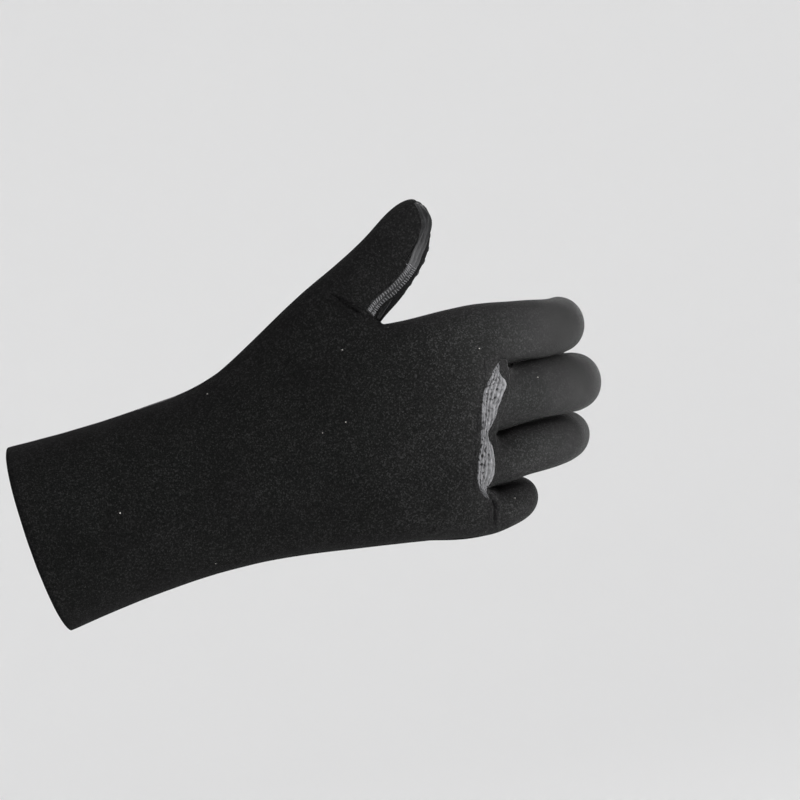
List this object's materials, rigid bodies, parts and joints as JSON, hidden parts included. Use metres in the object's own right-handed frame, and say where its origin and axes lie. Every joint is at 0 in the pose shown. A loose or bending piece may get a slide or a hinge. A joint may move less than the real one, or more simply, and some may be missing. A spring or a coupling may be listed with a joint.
{
  "type": "neoprene glove",
  "caption": "Right-hand neoprene glove in its worn shape: short cuff, half-curled fingers, thumb held out, rubber knuckle band and a sealed thumb seam strip.",
  "frame": {"origin": "middle of the cuff's opening, where the wrist comes out", "axes": "+X from the cuff towards the fingers, +Z towards the thumb side, +Y towards the palm side; the back of the hand faces -Y"},
  "size_m": [0.2453, 0.1016, 0.1452],
  "materials": {
    "jersey_neoprene": "matte black knitted nylon face on foam rubber",
    "palm_neoprene": "matte black face with raised glossy rubber rings for grip",
    "band_rubber": "mid-grey satin rubber with fine lengthwise ridges",
    "seam_strip": "dark grey satin rubber over a stitched seam"
  },
  "bodies": {
    "root": {"back_panel": "jersey_neoprene", "palm_panel": "palm_neoprene", "middle_finger_back": "jersey_neoprene", "ring_finger_back": "jersey_neoprene", "knuckle_band": "band_rubber", "thumb_strip": "seam_strip"}
  },
  "joints": []
}
